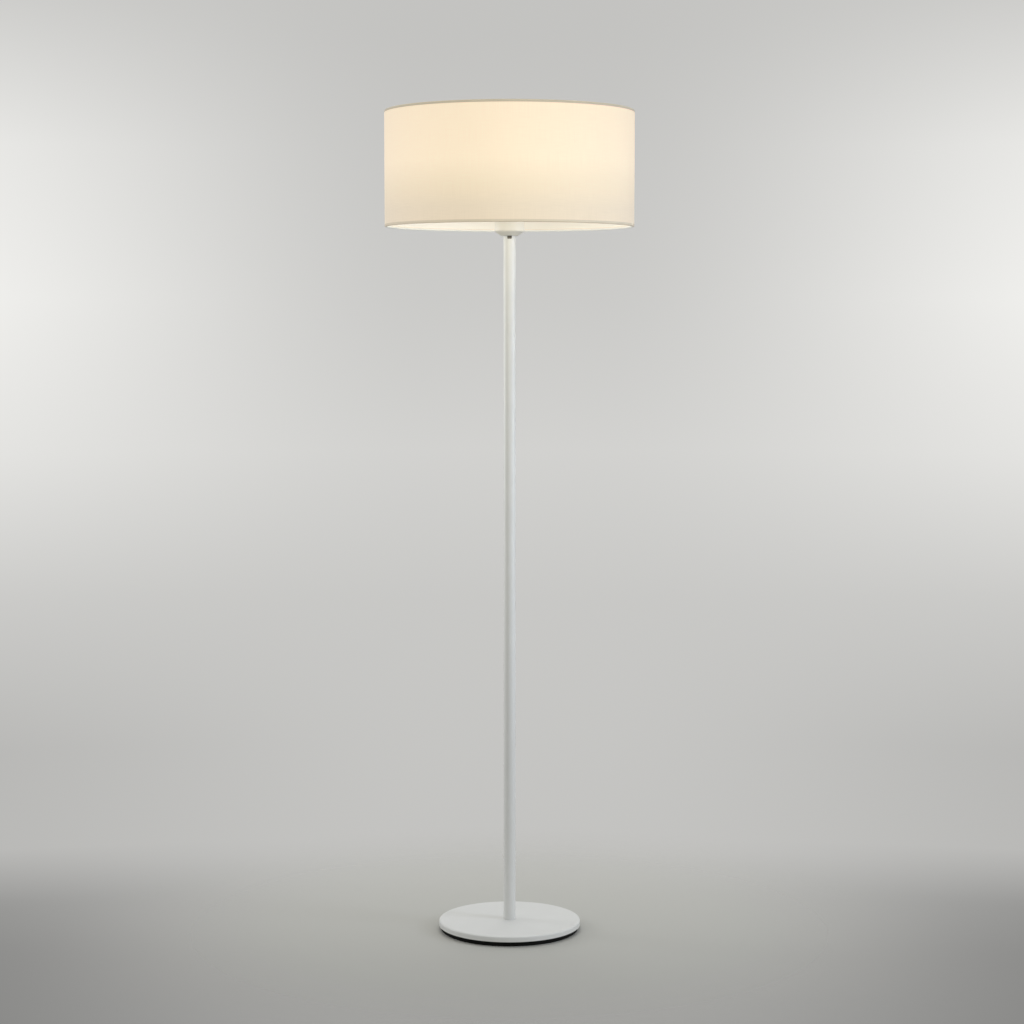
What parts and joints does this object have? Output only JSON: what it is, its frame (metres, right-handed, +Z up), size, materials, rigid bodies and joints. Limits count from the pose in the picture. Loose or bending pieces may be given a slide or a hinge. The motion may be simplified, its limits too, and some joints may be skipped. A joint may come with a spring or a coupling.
{
  "type": "column floor lamp",
  "caption": "Column floor lamp: round weighted base, slim straight tube, screw lampholder in a cup, and a fabric drum shade clamped by a threaded collar.",
  "frame": {"origin": "on the floor, under the middle of the column", "axes": "+Z up along the column, -Y towards the front that the picture shows, +X to the right seen from the front"},
  "size_m": [0.4499, 0.45, 1.496],
  "materials": {
    "foot_rubber": "moulded rubber pad, matt black",
    "white_paint": "powder coat on steel, fine satin white",
    "bush_rubber": "moulded rubber, matt black",
    "zinc_steel": "bright zinc plate",
    "brass_tube": "turned and threaded brass",
    "black_steel": "dark grey phosphate coating on steel",
    "cup_plastic": "moulded plastic, satin white",
    "holder_plastic": "moulded heat-resistant plastic, white",
    "contact_ceramic": "unglazed pressed ceramic, ivory",
    "contact_bronze": "rolled spring bronze strip",
    "white_wire": "white powder coat on steel wire",
    "liner_film": "self-adhesive laminating film, matt off-white",
    "shade_cloth": "plain-woven polyester and cotton, off-white",
    "hem_cloth": "the same cloth folded double, off-white",
    "globe_diffuser": "frosted diffuser, satin white",
    "board_white": "white-faced circuit board",
    "lamp_plastic": "moulded plastic over aluminium, satin white",
    "cap_nickel": "nickel-plated pressed sheet",
    "cap_glass": "black glass"
  },
  "bodies": {
    "stand": {"foot_pad": "foot_rubber", "base_plate": "white_paint", "cable_bush": "bush_rubber", "foot_nut": "zinc_steel", "foot_lock_washer": "zinc_steel", "foot_washer": "zinc_steel", "lower_threaded_tube": "brass_tube", "lower_plug": "black_steel", "column_tube": "white_paint", "upper_plug": "black_steel", "lock_screw": "black_steel", "upper_threaded_tube": "brass_tube", "holder_cup": "cup_plastic", "cup_washer": "zinc_steel", "cup_nut": "zinc_steel", "holder_base": "holder_plastic", "contact_block": "contact_ceramic", "side_contact": "contact_bronze", "terminal_screws": "zinc_steel", "holder_barrel": "holder_plastic"},
    "sprung_contact": {"centre_contact": "contact_bronze"},
    "collar": {"shade_collar": "holder_plastic"},
    "shade": {"fitter_ring": "white_wire", "fitter_arm_back": "white_wire", "fitter_arm_left": "white_wire", "fitter_arm_right": "white_wire", "lower_wire_ring": "white_wire", "upper_wire_ring": "white_wire", "shade_liner": "liner_film", "shade_fabric": "shade_cloth", "lower_hem": "hem_cloth", "upper_hem": "hem_cloth"},
    "lamp": {"lamp_globe": "globe_diffuser", "lamp_board": "board_white", "lamp_housing": "lamp_plastic", "lamp_cap": "cap_nickel", "lamp_insulator": "cap_glass", "lamp_tip": "cap_nickel"}
  },
  "joints": [
    {"name": "shade_turn", "type": "hinge", "parent": "stand", "child": "shade", "pos_m": [0, 0, 1.307], "axis": [0, 0, 1], "continuous": true},
    {"name": "collar_rise", "type": "slide", "parent": "stand", "child": "collar", "axis": [0, 0, 1], "range_m": [0, 0.008]},
    {"name": "lamp_lift", "type": "slide", "parent": "stand", "child": "lamp", "axis": [0, 0, 1], "range_m": [0, 0.2]},
    {"name": "contact_press", "type": "slide", "parent": "stand", "child": "sprung_contact", "axis": [0, 0, 1], "range_m": [-0.001, 0], "stiffness_N_per_m": 1500}
  ]
}
